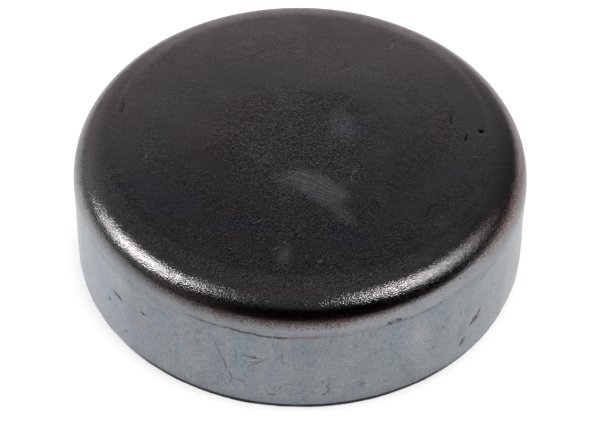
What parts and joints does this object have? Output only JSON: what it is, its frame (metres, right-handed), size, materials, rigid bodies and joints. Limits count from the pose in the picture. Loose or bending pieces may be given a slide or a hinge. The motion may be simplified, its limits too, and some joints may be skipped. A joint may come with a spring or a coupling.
{
  "type": "pipe cap",
  "caption": "Shallow round steel end cap: nearly flat top, large rounded shoulder and straight open skirt. It is butt-welded to the end of a pipe to close it.",
  "frame": {"origin": "centre of the open lip's plane, the lowest plane of the cap", "axes": "+Z is the axis of revolution and points up through the closed top; X and Y are free"},
  "size_m": [0.108, 0.108, 0.035],
  "materials": {
    "black_steel": "black mill scale, satin, fine pebbled grain, blue-grey on the skirt"
  },
  "bodies": {
    "root": {"cap_shell": "black_steel"}
  },
  "joints": []
}
